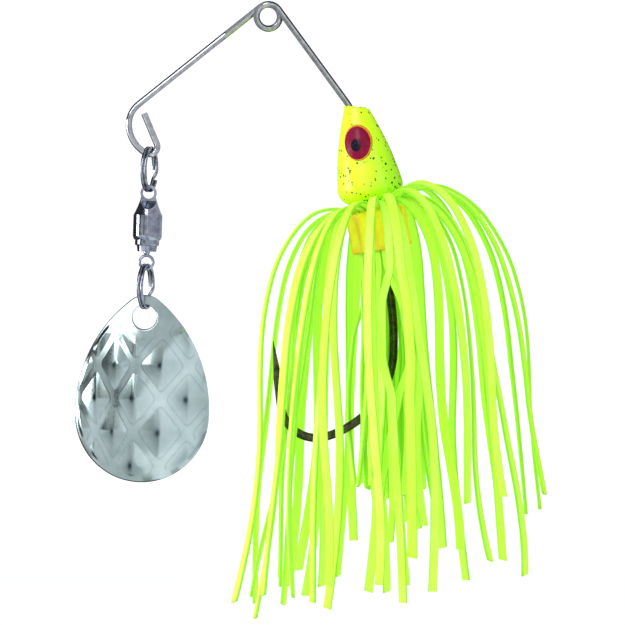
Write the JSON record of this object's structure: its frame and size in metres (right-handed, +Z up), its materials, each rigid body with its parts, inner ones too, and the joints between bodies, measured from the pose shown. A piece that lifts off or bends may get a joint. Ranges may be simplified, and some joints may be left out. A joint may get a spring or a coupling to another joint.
{
  "type": "spinnerbait fishing lure",
  "caption": "Bent-wire spinnerbait: line-tie coil, blade on split rings and a ball-bearing swivel, painted lead head with eyes, single hook and a flared silicone skirt.",
  "frame": {"origin": "centre of the line-tie coil", "axes": "+Z up with the lure hanging, hook point end down; +X from the blade towards the head; +Y along the line-tie coil, from the left eye side to the right eye side"},
  "size_m": [0.0665, 0.0445, 0.0861],
  "materials": {
    "stainless_wire": "polished",
    "painted_head": "gloss",
    "eye": "gloss",
    "black_nickel": "polished",
    "amber_rubber": "satin",
    "ring_wire": "polished",
    "nickel_swivel": "polished",
    "bearing_steel": "polished",
    "nickel_blade": "polished",
    "skirt_silicone": "satin"
  },
  "bodies": {
    "lure": {"wire_frame": "stainless_wire", "lead_head": "painted_head", "left_eye": "eye", "right_eye": "eye", "hook": "black_nickel", "skirt_collar": "amber_rubber", "skirt_tab_1": "skirt_silicone", "skirt_tab_2": "skirt_silicone", "skirt_tab_3": "skirt_silicone", "skirt_tab_4": "skirt_silicone", "skirt_tab_5": "skirt_silicone", "skirt_tab_6": "skirt_silicone", "skirt_tab_7": "skirt_silicone", "skirt_tab_8": "skirt_silicone"},
    "upper_ring": {"upper_split_ring": "ring_wire"},
    "swivel_body": {"swivel_barrel": "nickel_swivel", "swivel_cap": "nickel_swivel"},
    "ball_race": {"swivel_balls": "bearing_steel"},
    "swivel_spindle": {"swivel_shaft": "nickel_swivel"},
    "lower_ring": {"lower_split_ring": "ring_wire"},
    "spinner": {"blade": "nickel_blade"}
  },
  "joints": [
    {"name": "upper_ring_swing", "type": "hinge", "parent": "lure", "child": "upper_ring", "pos_m": [-0.01666, 0.00049, -0.01925], "axis": [0.9698, -0.2419, -0.0305], "range_deg": [-60, 45]},
    {"name": "swivel_swing", "type": "hinge", "parent": "upper_ring", "child": "swivel_body", "pos_m": [-0.01683, 0.00049, -0.0247], "axis": [0, 1, 0], "range_deg": [-5, 75]},
    {"name": "spindle_spin", "type": "hinge", "parent": "swivel_body", "child": "swivel_spindle", "pos_m": [-0.01699, 0.00049, -0.0297], "axis": [0.0314, 0, 0.9995], "continuous": true},
    {"name": "ball_orbit", "type": "hinge", "parent": "swivel_body", "child": "ball_race", "pos_m": [-0.01699, 0.00049, -0.0297], "axis": [0.0314, 0, 0.9995], "continuous": true},
    {"name": "lower_ring_swing", "type": "hinge", "parent": "swivel_spindle", "child": "lower_ring", "pos_m": [-0.01716, 0.00049, -0.03535], "axis": [-0.9995, 0, 0.0314], "range_deg": [-55, 55]},
    {"name": "blade_swing", "type": "hinge", "parent": "lower_ring", "child": "spinner", "pos_m": [-0.01738, 0.00049, -0.04207], "axis": [0, 1, 0], "range_deg": [-15, 40]}
  ],
  "couplings": [
    {"joint": "ball_orbit", "follows": "spindle_spin", "ratio": 0.5}
  ]
}
